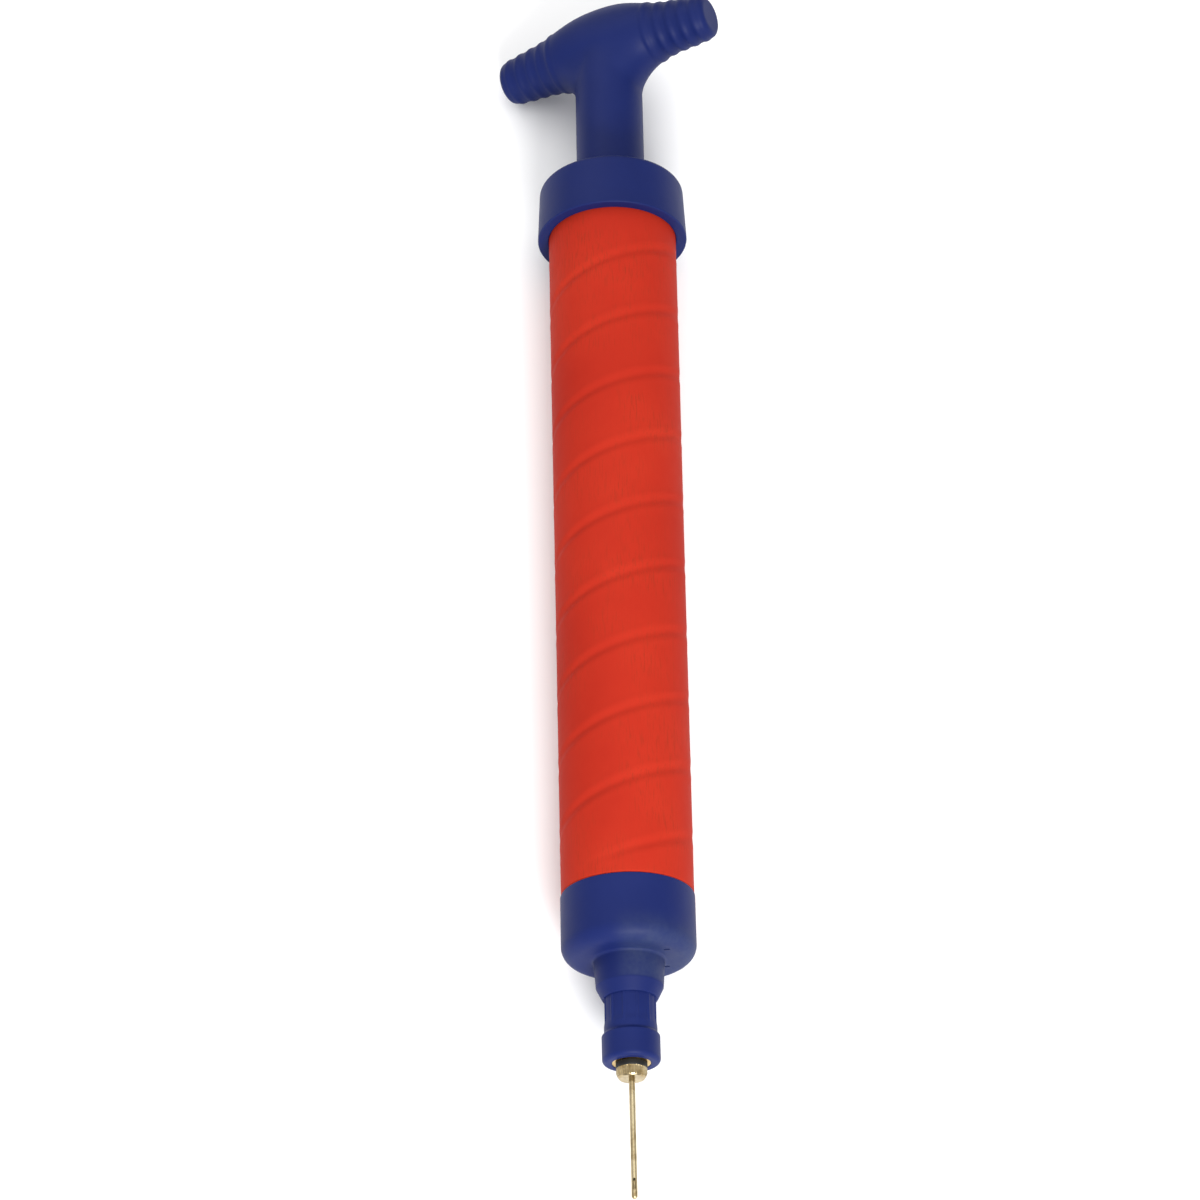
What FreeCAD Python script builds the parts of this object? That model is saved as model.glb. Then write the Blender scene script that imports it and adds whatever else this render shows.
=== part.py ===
import FreeCAD, Part
import math
import os
import Sketcher
from FreeCAD import Vector, Rotation, Placement

# Hand ball-inflation pump, lying on its side.
# Every round piece is drawn in its own local frame with the pump's axis along
# local Z. Local Z is zero 40 mm in front of the nozzle's mouth face, on the
# needle's side, so that all heights are positive; it grows towards the handle.

doc = FreeCAD.newDocument("ball_pump")
sheet = doc.addObject("Spreadsheet::Sheet", "Dimensions")

SIZES = [
    # placement of the pump on the surface it lies on
    ("axis_height", 20.5), ("shift_x", -179.62), ("handle_turn", 28.87),
    # barrel
    ("barrel_low_z", 83.4), ("barrel_rim_z", 278.4), ("barrel_top_z", 290.4),
    ("barrel_low_r", 16.85), ("barrel_top_r", 17.5), ("bore_r", 15.0),
    # cap at the handle's end
    ("cap_rim_r", 20.5), ("cap_top_r", 19.75), ("cap_bore_r", 17.55),
    ("cap_plate_z", 290.45), ("cap_top_z", 294.5), ("cap_hole_r", 7.0),
    # guide bush of the rod
    ("bush_flange_r", 10.0), ("bush_low_z", 287.9), ("bush_bore_r", 4.55),
    ("bush_sleeve_r", 6.97),
    # rod
    ("rod_r", 4.5), ("rod_low_z", 101.5), ("rod_top_z", 332.0), ("rod_pilot_r", 1.5),
    # piston and its ring
    ("piston_low_z", 97.5), ("piston_top_z", 117.5), ("piston_r", 14.92),
    ("groove_low_z", 102.5), ("groove_top_z", 107.7), ("groove_r", 10.9),
    ("ring_major_r", 12.95), ("ring_minor_r", 2.0), ("ring_z", 105.7),
    ("piston_recess_r", 6.0), ("piston_recess_z", 100.1),
    # stop ring on the rod
    ("bumper_r", 9.0), ("bumper_bore_r", 4.6), ("bumper_len", 8.0),
    # cap at the needle's end
    ("skirt_r", 17.05), ("dome_z", 66.3), ("boss_top_r", 9.0), ("boss_low_r", 8.5),
    ("boss_cone_z", 59.15), ("boss_low_z", 56.0), ("boss_face_r", 6.95),
    ("spigot_r", 14.93), ("spigot_top_z", 94.3), ("spigot_bore_r", 11.5),
    ("seal_groove_z", 89.3), ("seal_groove_w", 1.8), ("seal_groove_r", 13.3),
    ("seal_major_r", 14.15), ("seal_minor_r", 0.79),
    ("floor_z", 69.5), ("boss_bore_r", 5.65), ("cavity_floor_r", 8.6),
    # outlet valve
    ("seat_flange_r", 8.0), ("seat_top_z", 71.5), ("seat_body_r", 5.6),
    ("seat_low_z", 67.4), ("seat_hole_r", 1.8), ("seat_mouth_r", 2.6),
    ("ball_r", 3.2), ("ball_z", 65.5),
    ("spring_major_r", 2.45), ("spring_wire_r", 0.4), ("spring_low_z", 58.0),
    ("spring_len", 5.2), ("spring_pitch", 1.6),
    # nozzle
    ("mouth_z", 39.15), ("insert_z", 39.3), ("flare_r", 7.3), ("flare_top_z", 46.2), ("neck_z", 46.9),
    ("neck_r", 6.65), ("nozzle_top_z", 61.0), ("nozzle_spigot_r", 5.6),
    ("passage_r", 2.2), ("spring_pocket_r", 3.0), ("insert_depth_z", 50.0),
    ("oring_groove_low_z", 57.1), ("oring_groove_w", 1.2), ("oring_groove_r", 4.55),
    ("oring_major_r", 5.08), ("oring_minor_r", 0.5),
    ("flute_w", 2.6), ("flute_depth", 0.22), ("flute_low_z", 48.5),
    # threaded insert in the nozzle
    ("insert_r", 4.85), ("insert_bore_r", 3.65),
    # needle
    ("thread_r", 3.6), ("thread_low_z", 40.4), ("thread_top_z", 47.2),
    ("hub_neck_r", 2.45), ("knurl_r", 3.9), ("knurl_top_z", 37.8), ("knurl_low_z", 35.6), ("knurl_full_z", 36.6), ("knurl_low_r", 3.5),
    ("hub_low_z", 35.2), ("hub_low_r", 3.15), ("hub_bore_r", 1.1),
    ("gasket_r", 3.95), ("gasket_bore_r", 2.5), ("knurl_groove_w", 0.3),
    ("knurl_groove_d", 0.24),
    ("needle_r", 0.8), ("needle_seat_r", 0.62), ("needle_relief", 0.3), ("needle_bore_r", 0.45), ("needle_tip_z", 4.45), ("needle_top_z", 43.0),
    ("slot_low_z", 6.7), ("slot_top_z", 9.6), ("slot_w", 0.55),
    # handle
    ("neck_low_z", 294.8), ("handle_neck_r", 9.4), ("bar_z", 342.9), ("bar_half", 32.9), ("bar_droop", 0.7),
    ("bar_h0", 12.2), ("bar_w0", 10.2), ("bar_h1", 11.1), ("bar_w1", 9.9),
    ("bar_h2", 9.25), ("bar_w2", 9.2), ("bar_r3", 7.75), ("bar_r4", 7.05),
    ("bar_up1", 0.3), ("bar_up2", 0.4), ("bar_up3", 0.35), ("bar_up4", 0.2), ("bar_up5", 0.0),
    ("bar_r5", 6.5), ("bar_r6", 5.8), ("bar_d1", 7.5), ("bar_d2", 12.8),
    ("bar_d3", 18.0), ("bar_d4", 23.0), ("bar_d5", 28.2),
    # piston screw and washer
    ("pscrew_r", 1.5), ("pscrew_head_r", 2.9), ("pscrew_head_len", 1.6), ("pscrew_len", 13.0),
    ("pwasher_r", 4.4), ("pwasher_bore_r", 1.6), ("pwasher_len", 0.6),
]
VALUE = {}
for row, (alias, value) in enumerate(SIZES, start=1):
    sheet.set("A%d" % row, alias)
    sheet.set("B%d" % row, repr(value))
    sheet.setAlias("B%d" % row, alias)
    VALUE[alias] = value
doc.recompute()


class Dim:
    """A number together with the formula that gives it from the sheet."""

    def __init__(self, value, text):
        self.value = value
        self.text = text

    def _pair(self, other):
        if isinstance(other, Dim):
            return other
        return Dim(float(other), repr(float(other)))

    def __add__(self, other):
        o = self._pair(other)
        return Dim(self.value + o.value, "(%s + %s)" % (self.text, o.text))

    def __sub__(self, other):
        o = self._pair(other)
        return Dim(self.value - o.value, "(%s - %s)" % (self.text, o.text))

    def __mul__(self, other):
        o = self._pair(other)
        return Dim(self.value * o.value, "(%s * %s)" % (self.text, o.text))


def d(alias):
    return Dim(VALUE[alias], "Dimensions.%s" % alias)


ZERO = Dim(0.0, "0")
LAY = Placement(Vector(VALUE["shift_x"], 0, VALUE["axis_height"]), Rotation(Vector(0, 1, 0), 90))
TURN = Placement(Vector(0, 0, 0), Rotation(Vector(0, 0, 1), -VALUE["handle_turn"]))
PIECES = []


def keep(obj, label, placement=None):
    obj.Label = label
    obj.Placement = LAY if placement is None else placement
    PIECES.append(obj)
    return obj


def origin_plane(body, role):
    for item in body.Origin.OriginFeatures:
        if getattr(item, "Role", "") == role:
            return item
    raise RuntimeError("no plane " + role)


def lathe_sketch(body, name, points):
    """Closed outline in the local XZ plane; each corner's radius and height are bound to the sheet."""
    sketch = body.newObject("Sketcher::SketchObject", name)
    sketch.AttachmentSupport = [(origin_plane(body, "XZ_Plane"), "")]
    sketch.MapMode = "FlatFace"
    n = len(points)
    lines = []
    for i in range(n):
        r0, z0 = points[i]
        r1, z1 = points[(i + 1) % n]
        lines.append(Part.LineSegment(Vector(r0.value, z0.value, 0), Vector(r1.value, z1.value, 0)))
    sketch.addGeometry(lines, False)
    for i in range(n):
        sketch.addConstraint(Sketcher.Constraint("Coincident", i, 2, (i + 1) % n, 1))
    for i, (r, z) in enumerate(points):
        if abs(r.value) < 1e-9:
            sketch.addConstraint(Sketcher.Constraint("PointOnObject", i, 1, -2))
        else:
            k = sketch.addConstraint(Sketcher.Constraint("DistanceX", -1, 1, i, 1, r.value))
            sketch.setExpression("Constraints[%d]" % k, r.text)
        k = sketch.addConstraint(Sketcher.Constraint("DistanceY", -1, 1, i, 1, z.value))
        sketch.setExpression("Constraints[%d]" % k, z.text)
    return sketch


def lathe(name, points):
    """Body turned from one closed outline."""
    body = doc.addObject("PartDesign::Body", name)
    sketch = lathe_sketch(body, name + "_outline", points)
    rev = body.newObject("PartDesign::Revolution", name + "_turned")
    rev.Profile = sketch
    rev.ReferenceAxis = (sketch, ["V_Axis"])
    rev.Angle = 360
    sketch.Visibility = False
    doc.recompute()
    return body


def ring_edges(feature, radius, height, tol=0.02):
    names = []
    for i, edge in enumerate(feature.Shape.Edges, start=1):
        curve = edge.Curve
        if not hasattr(curve, "Radius"):
            continue
        if abs(curve.Radius - radius) < tol and abs(curve.Center.z - height) < tol:
            names.append("Edge%d" % i)
    return names


def round_edges(body, name, rings, size):
    base = body.Tip
    names = []
    for radius, height in rings:
        found = ring_edges(base, radius, height)
        if not found:
            raise RuntimeError("no edge for %s at r %.2f z %.2f" % (name, radius, height))
        names += found
    fillet = body.newObject("PartDesign::Fillet", name)
    fillet.Base = (base, names)
    fillet.Radius = size
    doc.recompute()
    return fillet


def pocket_pattern(body, name, rect, count, length_z, plane_z):
    """Axial grooves round a cylinder: one rectangle cut along Z, repeated about the axis."""
    before = body.Tip.Shape.Volume
    sketch = body.newObject("Sketcher::SketchObject", name + "_outline")
    sketch.AttachmentSupport = [(origin_plane(body, "XY_Plane"), "")]
    sketch.MapMode = "FlatFace"
    sketch.AttachmentOffset = Placement(Vector(0, 0, plane_z.value), Rotation())
    sketch.setExpression(".AttachmentOffset.Base.z", plane_z.text)
    x0, x1, w = rect
    half = w.value / 2.0
    pts = [Vector(x0.value, -half, 0), Vector(x1.value, -half, 0),
           Vector(x1.value, half, 0), Vector(x0.value, half, 0)]
    sketch.addGeometry([Part.LineSegment(pts[i], pts[(i + 1) % 4]) for i in range(4)], False)
    for i in range(4):
        sketch.addConstraint(Sketcher.Constraint("Coincident", i, 2, (i + 1) % 4, 1))
    sketch.addConstraint(Sketcher.Constraint("Horizontal", 0))
    sketch.addConstraint(Sketcher.Constraint("Vertical", 1))
    sketch.addConstraint(Sketcher.Constraint("Horizontal", 2))
    sketch.addConstraint(Sketcher.Constraint("Symmetric", 0, 1, 3, 1, -1))
    k = sketch.addConstraint(Sketcher.Constraint("DistanceX", -1, 1, 0, 1, x0.value))
    sketch.setExpression("Constraints[%d]" % k, x0.text)
    k = sketch.addConstraint(Sketcher.Constraint("DistanceX", -1, 1, 1, 1, x1.value))
    sketch.setExpression("Constraints[%d]" % k, x1.text)
    k = sketch.addConstraint(Sketcher.Constraint("DistanceY", 1, 1, 1, 2, w.value))
    sketch.setExpression("Constraints[%d]" % k, w.text)
    pocket = body.newObject("PartDesign::Pocket", name)
    pocket.Profile = sketch
    pocket.Length = length_z.value
    pocket.setExpression("Length", length_z.text)
    pocket.Reversed = True
    doc.recompute()
    if not before - pocket.Shape.Volume > 1e-4:
        pocket.Reversed = False
        doc.recompute()
    if not before - pocket.Shape.Volume > 1e-4:
        raise RuntimeError(name + " cut nothing")
    one = before - pocket.Shape.Volume
    if count > 1:
        pattern = body.newObject("PartDesign::PolarPattern", name + "_ring")
        pattern.Originals = [pocket]
        pattern.Axis = (sketch, ["N_Axis"])
        pattern.Angle = 360
        pattern.Occurrences = count
        body.Tip = pattern
        doc.recompute()
        if before - pattern.Shape.Volume < one * (count - 0.5):
            raise RuntimeError(name + " pattern is incomplete")
    return one


def cylinder(name, radius, low, length, base=None):
    obj = doc.addObject("Part::Cylinder", name)
    obj.Radius = radius.value
    obj.setExpression("Radius", radius.text)
    obj.Height = length.value
    obj.setExpression("Height", length.text)
    obj.Placement = Placement(Vector(0, 0, low.value), Rotation())
    obj.setExpression(".Placement.Base.z", low.text)
    return obj


def torus(name, major, minor):
    obj = doc.addObject("Part::Torus", name)
    obj.Radius1 = major.value
    obj.setExpression("Radius1", major.text)
    obj.Radius2 = minor.value
    obj.setExpression("Radius2", minor.text)
    return obj


def cut(name, base, tool):
    obj = doc.addObject("Part::Cut", name)
    obj.Base = base
    obj.Tool = tool
    return obj


# Barrel: straight bore, slightly tapered outside.
barrel = lathe("barrel", [
    (d("bore_r"), d("barrel_low_z")), (d("barrel_low_r"), d("barrel_low_z")),
    (d("barrel_top_r"), d("barrel_rim_z")), (d("barrel_top_r"), d("barrel_top_z")),
    (d("bore_r"), d("barrel_top_z"))])
keep(barrel, "barrel_tube")

# Cap over the barrel's end, with the hole for the bush.
top_cap = lathe("cap_top", [
    (d("cap_bore_r"), d("barrel_rim_z")), (d("cap_rim_r"), d("barrel_rim_z")),
    (d("cap_top_r"), d("cap_top_z")), (d("cap_hole_r"), d("cap_top_z")),
    (d("cap_hole_r"), d("cap_plate_z")), (d("cap_bore_r"), d("cap_plate_z"))])
round_edges(top_cap, "cap_shoulder", [(VALUE["cap_top_r"], VALUE["cap_top_z"])], 1.5)
round_edges(top_cap, "cap_lip", [(VALUE["cap_rim_r"], VALUE["barrel_rim_z"])], 0.4)
keep(top_cap, "top_cap")

# Flanged guide bush, held under the cap's plate.
bush = lathe("bush", [
    (d("bush_bore_r"), d("bush_low_z")), (d("bush_flange_r"), d("bush_low_z")),
    (d("bush_flange_r"), d("cap_plate_z")), (d("bush_sleeve_r"), d("cap_plate_z")),
    (d("bush_sleeve_r"), d("cap_top_z")), (d("bush_bore_r"), d("cap_top_z"))])
keep(bush, "rod_bush")

# Rod with a pilot hole for the piston's screw.
rod = lathe("rod", [
    (ZERO, d("rod_low_z") + 14), (d("rod_pilot_r"), d("rod_low_z") + 14),
    (d("rod_pilot_r"), d("rod_low_z")), (d("rod_r"), d("rod_low_z")),
    (d("rod_r"), d("rod_top_z")), (ZERO, d("rod_top_z"))])
keep(rod, "plunger_rod")

# Piston with one wide groove, in which the sealing ring can float, a socket for
# the rod and a recess for the screw.
piston = lathe("piston", [
    (d("pscrew_r") + 0.1, d("piston_recess_z")), (d("piston_recess_r"), d("piston_recess_z")),
    (d("piston_recess_r"), d("piston_low_z")), (d("piston_r"), d("piston_low_z")),
    (d("piston_r"), d("groove_low_z")), (d("groove_r"), d("groove_low_z")),
    (d("groove_r"), d("groove_top_z")), (d("piston_r"), d("groove_top_z")),
    (d("piston_r"), d("piston_top_z")), (d("rod_r"), d("piston_top_z")),
    (d("rod_r"), d("rod_low_z")), (d("pscrew_r") + 0.1, d("rod_low_z"))])
round_edges(piston, "piston_rims", [(VALUE["piston_r"], VALUE["piston_low_z"]),
                                    (VALUE["piston_r"], VALUE["piston_top_z"])], 0.6)
keep(piston, "piston_head")

keep(torus("ring", d("ring_major_r"), d("ring_minor_r")), "piston_ring",
     LAY.multiply(Placement(Vector(0, 0, VALUE["ring_z"]), Rotation())))

pwasher = lathe("washer_low", [
    (d("pwasher_bore_r"), d("piston_recess_z") - d("pwasher_len")),
    (d("pwasher_r"), d("piston_recess_z") - d("pwasher_len")),
    (d("pwasher_r"), d("piston_recess_z")), (d("pwasher_bore_r"), d("piston_recess_z"))])
keep(pwasher, "piston_washer")

low = d("piston_recess_z") - d("pwasher_len")
pscrew = lathe("screw_low", [
    (ZERO, low - d("pscrew_head_len")), (d("pscrew_head_r"), low - d("pscrew_head_len")),
    (d("pscrew_head_r"), low), (d("pscrew_r"), low),
    (d("pscrew_r"), low + d("pscrew_len")), (ZERO, low + d("pscrew_len"))])
keep(pscrew, "piston_screw")

bumper = lathe("bumper", [
    (d("bumper_bore_r"), d("piston_top_z")), (d("bumper_r"), d("piston_top_z")),
    (d("bumper_r"), d("piston_top_z") + d("bumper_len")),
    (d("bumper_bore_r"), d("piston_top_z") + d("bumper_len"))])
round_edges(bumper, "bumper_rims", [(VALUE["bumper_r"], VALUE["piston_top_z"]),
                                    (VALUE["bumper_r"], VALUE["piston_top_z"] + VALUE["bumper_len"])], 0.8)
keep(bumper, "rod_bumper")

# Domed cap at the needle's end: skirt flush with the barrel, spigot with a seal
# groove inside the bore, boss with a stepped bore for the valve and the nozzle.
bottom = lathe("cap_bottom", [
    (d("boss_bore_r"), d("boss_low_z")), (d("boss_face_r"), d("boss_low_z")),
    (d("boss_low_r"), d("boss_cone_z")), (d("boss_top_r"), d("dome_z")),
    (d("skirt_r"), d("dome_z")), (d("skirt_r"), d("barrel_low_z")),
    (d("spigot_r"), d("barrel_low_z")), (d("spigot_r"), d("seal_groove_z")),
    (d("seal_groove_r"), d("seal_groove_z")), (d("seal_groove_r"), d("seal_groove_z") + d("seal_groove_w")),
    (d("spigot_r"), d("seal_groove_z") + d("seal_groove_w")), (d("spigot_r"), d("spigot_top_z")),
    (d("spigot_bore_r"), d("spigot_top_z")), (d("spigot_bore_r"), d("floor_z") + 4),
    (d("cavity_floor_r"), d("floor_z")), (d("boss_bore_r"), d("floor_z"))])
round_edges(bottom, "dome_shoulder", [(VALUE["skirt_r"], VALUE["dome_z"])], 6.4)
round_edges(bottom, "boss_root", [(VALUE["boss_top_r"], VALUE["dome_z"])], 0.6)
keep(bottom, "bottom_cap")

keep(torus("seal", d("seal_major_r"), d("seal_minor_r")), "barrel_gasket",
     LAY.multiply(Placement(Vector(0, 0, VALUE["seal_groove_z"] + VALUE["seal_groove_w"] / 2), Rotation())))

seat = lathe("seat", [
    (d("seat_hole_r"), d("seat_low_z") + 0.9), (d("seat_mouth_r"), d("seat_low_z")),
    (d("seat_body_r"), d("seat_low_z")), (d("seat_body_r"), d("floor_z")),
    (d("seat_flange_r"), d("floor_z")), (d("seat_flange_r"), d("seat_top_z")),
    (d("seat_hole_r"), d("seat_top_z"))])
keep(seat, "check_seat")

ball = doc.addObject("Part::Sphere", "ball")
ball.Radius = VALUE["ball_r"]
ball.setExpression("Radius", "Dimensions.ball_r")
keep(ball, "check_ball", LAY.multiply(Placement(Vector(0, 0, VALUE["ball_z"]), Rotation())))

# Coil spring under the ball: three turns of wire, twelve flats round its section.
spring_path = Part.makeHelix(VALUE["spring_pitch"], VALUE["spring_len"] - 2 * VALUE["spring_wire_r"],
                             VALUE["spring_major_r"])
start = Vector(VALUE["spring_major_r"], 0, 0)
corners = []
for k in range(13):
    turn = 2 * math.pi * (k % 12 + 0.5) / 12
    corners.append(start + Vector(math.cos(turn), 0, math.sin(turn)) * VALUE["spring_wire_r"])
wire_disc = Part.makePolygon(corners)
coil = Part.Wire(spring_path.Edges).makePipeShell([wire_disc], True, True)
spring = doc.addObject("Part::Feature", "spring")
spring.Shape = coil
keep(spring, "check_spring",
     LAY.multiply(Placement(Vector(0, 0, VALUE["spring_low_z"] + VALUE["spring_wire_r"]), Rotation())))

# Outlet nozzle: rounded flared mouth, fluted neck, spigot inside the boss.
nozzle = lathe("nozzle", [
    (d("insert_r"), d("mouth_z")), (d("flare_r"), d("mouth_z")),
    (d("flare_r"), d("flare_top_z")), (d("neck_r"), d("neck_z")),
    (d("neck_r"), d("boss_low_z")), (d("nozzle_spigot_r"), d("boss_low_z")),
    (d("nozzle_spigot_r"), d("oring_groove_low_z")), (d("oring_groove_r"), d("oring_groove_low_z")),
    (d("oring_groove_r"), d("oring_groove_low_z") + d("oring_groove_w")),
    (d("nozzle_spigot_r"), d("oring_groove_low_z") + d("oring_groove_w")),
    (d("nozzle_spigot_r"), d("nozzle_top_z")), (d("spring_pocket_r"), d("nozzle_top_z")),
    (d("spring_pocket_r"), d("spring_low_z")), (d("passage_r"), d("spring_low_z")),
    (d("passage_r"), d("insert_depth_z")), (d("insert_r"), d("insert_depth_z"))])
round_edges(nozzle, "mouth_round", [(VALUE["flare_r"], VALUE["mouth_z"])], 2.0)
pocket_pattern(nozzle, "neck_flutes",
               (d("neck_r") - d("flute_depth"), d("neck_r") + 1, d("flute_w")), 12,
               d("boss_low_z") - d("flute_low_z"), d("flute_low_z"))
keep(nozzle, "nozzle")

keep(torus("oring", d("oring_major_r"), d("oring_minor_r")), "nozzle_oring",
     LAY.multiply(Placement(Vector(0, 0, VALUE["oring_groove_low_z"] + VALUE["oring_groove_w"] / 2), Rotation())))

insert = lathe("insert", [
    (d("insert_bore_r"), d("insert_z")), (d("insert_r"), d("insert_z")),
    (d("insert_r"), d("insert_depth_z")), (d("passage_r"), d("insert_depth_z")),
    (d("passage_r"), d("insert_depth_z") - 1.2), (d("insert_bore_r"), d("insert_depth_z") - 1.2)])
keep(insert, "needle_insert")

# Inflation needle: threaded and knurled hub, gasket, thin tube with a closed
# round tip and one side slot.
hub = lathe("hub", [
    (d("needle_seat_r"), d("hub_low_z")), (d("hub_low_r"), d("hub_low_z")),
    (d("knurl_low_r"), d("knurl_low_z")), (d("knurl_r"), d("knurl_full_z")),
    (d("knurl_r"), d("knurl_top_z")), (d("hub_neck_r"), d("knurl_top_z")),
    (d("hub_neck_r"), d("thread_low_z")), (d("thread_r"), d("thread_low_z")),
    (d("thread_r"), d("thread_top_z") - 0.5), (d("thread_r") - 0.5, d("thread_top_z")),
    (d("hub_bore_r"), d("thread_top_z")), (d("hub_bore_r"), d("needle_top_z")),
    (d("needle_seat_r"), d("needle_top_z"))])
pocket_pattern(hub, "knurl",
               (d("knurl_r") - d("knurl_groove_d"), d("knurl_r") + 1, d("knurl_groove_w")), 34,
               d("knurl_top_z") - d("knurl_low_z"), d("knurl_low_z"))
keep(hub, "needle_hub")

gasket = lathe("gasket", [
    (d("gasket_bore_r"), d("knurl_top_z")), (d("gasket_r"), d("knurl_top_z")),
    (d("gasket_r"), d("insert_z")), (d("gasket_bore_r"), d("insert_z"))])
keep(gasket, "needle_gasket")

tube_long = cylinder("tube_long", d("needle_r"), d("needle_tip_z") + d("needle_r"),
                     d("hub_low_z") - d("needle_relief") - d("needle_tip_z") - d("needle_r"))
tube_seat = cylinder("tube_seat", d("needle_seat_r"), d("hub_low_z") - d("needle_relief") - 1,
                     d("needle_top_z") - d("hub_low_z") + d("needle_relief") + 1)
tube_out = doc.addObject("Part::Fuse", "tube_out")
tube_out.Base = tube_long
tube_out.Tool = tube_seat
tube_tip = doc.addObject("Part::Sphere", "tube_tip")
tube_tip.Radius = VALUE["needle_r"]
tube_tip.setExpression("Radius", "Dimensions.needle_r")
tube_tip.Placement = Placement(Vector(0, 0, VALUE["needle_tip_z"] + VALUE["needle_r"]), Rotation())
tube_tip.setExpression(".Placement.Base.z", "Dimensions.needle_tip_z + Dimensions.needle_r")
tube_shell = doc.addObject("Part::Fuse", "tube_shell")
tube_shell.Base = tube_out
tube_shell.Tool = tube_tip
tube_bore = cylinder("tube_bore", d("needle_bore_r"), d("slot_low_z"), d("needle_top_z") - d("slot_low_z") + 1)
tube_open = cut("tube_open", tube_shell, tube_bore)
slot = doc.addObject("Part::Box", "tube_slot")
slot.Length = 2.0
slot.Width = VALUE["slot_w"]
slot.setExpression("Width", "Dimensions.slot_w")
slot.Height = VALUE["slot_top_z"] - VALUE["slot_low_z"]
slot.setExpression("Height", "Dimensions.slot_top_z - Dimensions.slot_low_z")
slot.Placement = Placement(Vector(-2.0, -VALUE["slot_w"] / 2, VALUE["slot_low_z"]), Rotation())
slot.setExpression(".Placement.Base.z", "Dimensions.slot_low_z")
needle = cut("needle", tube_open, slot)
doc.recompute()
keep(needle, "needle_tube")

# Handle: spindle-shaped bar across the axis, lofted through oval sections, with
# low grip rings on both arms, blended into a round neck.
ACROSS = Rotation(Vector(1, 1, 1), 240)


def section(name, major, minor, along, lift):
    obj = doc.addObject("Part::Ellipse", name)
    obj.MajorRadius = major.value
    obj.setExpression("MajorRadius", major.text)
    obj.MinorRadius = minor.value
    obj.setExpression("MinorRadius", minor.text)
    fall = d("bar_droop") * (along.value / VALUE["bar_half"]) ** 2 - lift
    obj.Placement = Placement(Vector(0, along.value, VALUE["bar_z"] - fall.value), ACROSS)
    obj.setExpression(".Placement.Base.y", along.text)
    obj.setExpression(".Placement.Base.z", "Dimensions.bar_z - " + fall.text)
    return obj


half_sections = [("bar_h6", "bar_r6", "bar_r6", "bar_half", "bar_up5"),
                 ("s5", "bar_r5", "bar_r5", "bar_d5", "bar_up5"),
                 ("s4", "bar_r4", "bar_r4", "bar_d4", "bar_up4"),
                 ("s3", "bar_r3", "bar_r3", "bar_d3", "bar_up3"),
                 ("s2", "bar_h2", "bar_w2", "bar_d2", "bar_up2"),
                 ("s1", "bar_h1", "bar_w1", "bar_d1", "bar_up1")]
sections = []
for name, major, minor, along, lift in half_sections:
    sections.append(section("left_" + name, d(major), d(minor), d(along) * -1, d(lift)))
sections.append(section("middle", d("bar_h0"), d("bar_w0"), ZERO, ZERO))
for name, major, minor, along, lift in reversed(half_sections):
    sections.append(section("right_" + name, d(major), d(minor), d(along), d(lift)))
bar = doc.addObject("Part::Loft", "bar")
bar.Sections = sections
bar.Solid = True
bar.Ruled = False
neck = cylinder("handle_neck", d("handle_neck_r"), d("neck_low_z"), d("bar_z") - d("neck_low_z"))
grip = doc.addObject("Part::Fuse", "grip")
grip.Base = bar
grip.Tool = neck
doc.recompute()

blend_edges = []
for i, edge in enumerate(grip.Shape.Edges, start=1):
    box = edge.BoundBox
    if box.ZMax < VALUE["bar_z"] - 4 and box.ZMin > VALUE["neck_low_z"] + 5 and edge.Length > 4:
        middle = edge.valueAt((edge.FirstParameter + edge.LastParameter) / 2)
        if abs(math.hypot(middle.x, middle.y) - VALUE["handle_neck_r"]) < 0.05:
            blend_edges.append(i)
tip_edges = []
for i, edge in enumerate(grip.Shape.Edges, start=1):
    box = edge.BoundBox
    if box.YLength < 0.01 and abs(abs(box.YMin) - VALUE["bar_half"]) < 0.01:
        tip_edges.append(i)
blend = doc.addObject("Part::Fillet", "blend")
blend.Base = grip
blend.Edges = [(i, 6.5, 6.5) for i in blend_edges] + [(i, 1.6, 1.6) for i in tip_edges]
doc.recompute()

# Low grip rings on the round part of each arm.
grip_rings = []
for side in (-1, 1):
    for k in range(5):
        along = 15.4 + 3.6 * k
        radius = VALUE["bar_r3"] + (VALUE["bar_r6"] - VALUE["bar_r3"]) * (along - VALUE["bar_d3"]) / (
            VALUE["bar_half"] - VALUE["bar_d3"])
        rib = doc.addObject("Part::Torus", "grip_ring_%s%d" % ("a" if side < 0 else "b", k))
        rib.Radius1 = radius - 0.95
        rib.Radius2 = 1.2
        fall = VALUE["bar_droop"] * (along / VALUE["bar_half"]) ** 2 - VALUE["bar_up3"] * (
            VALUE["bar_d5"] + 2 - along) / (VALUE["bar_d5"] + 2 - VALUE["bar_d3"])
        rib.Placement = Placement(Vector(0, side * along, VALUE["bar_z"] - fall), Rotation(Vector(1, 0, 0), 90))
        grip_rings.append(rib)
ribbed = doc.addObject("Part::MultiFuse", "ribbed")
ribbed.Shapes = [blend] + grip_rings
rod_socket = cylinder("rod_socket", d("rod_r"), d("neck_low_z") - 1, d("rod_top_z") - d("neck_low_z") + 1)
handle = cut("handle_body", ribbed, rod_socket)
doc.recompute()
keep(handle, "handle", LAY.multiply(TURN))

# Nothing is written unless every object and every piece is sound.
for obj in doc.Objects:
    if "Invalid" in obj.State or "Error" in obj.State:
        raise RuntimeError("failed object: %s %s" % (obj.Name, obj.State))
labels = set()
for obj in PIECES:
    shape = obj.Shape
    if shape.isNull() or not shape.isValid() or len(shape.Solids) < 1 or shape.Volume <= 0:
        raise RuntimeError("unsound piece: " + obj.Label)
    if obj.Label in labels:
        raise RuntimeError("label used twice: " + obj.Label)
    labels.add(obj.Label)

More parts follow.
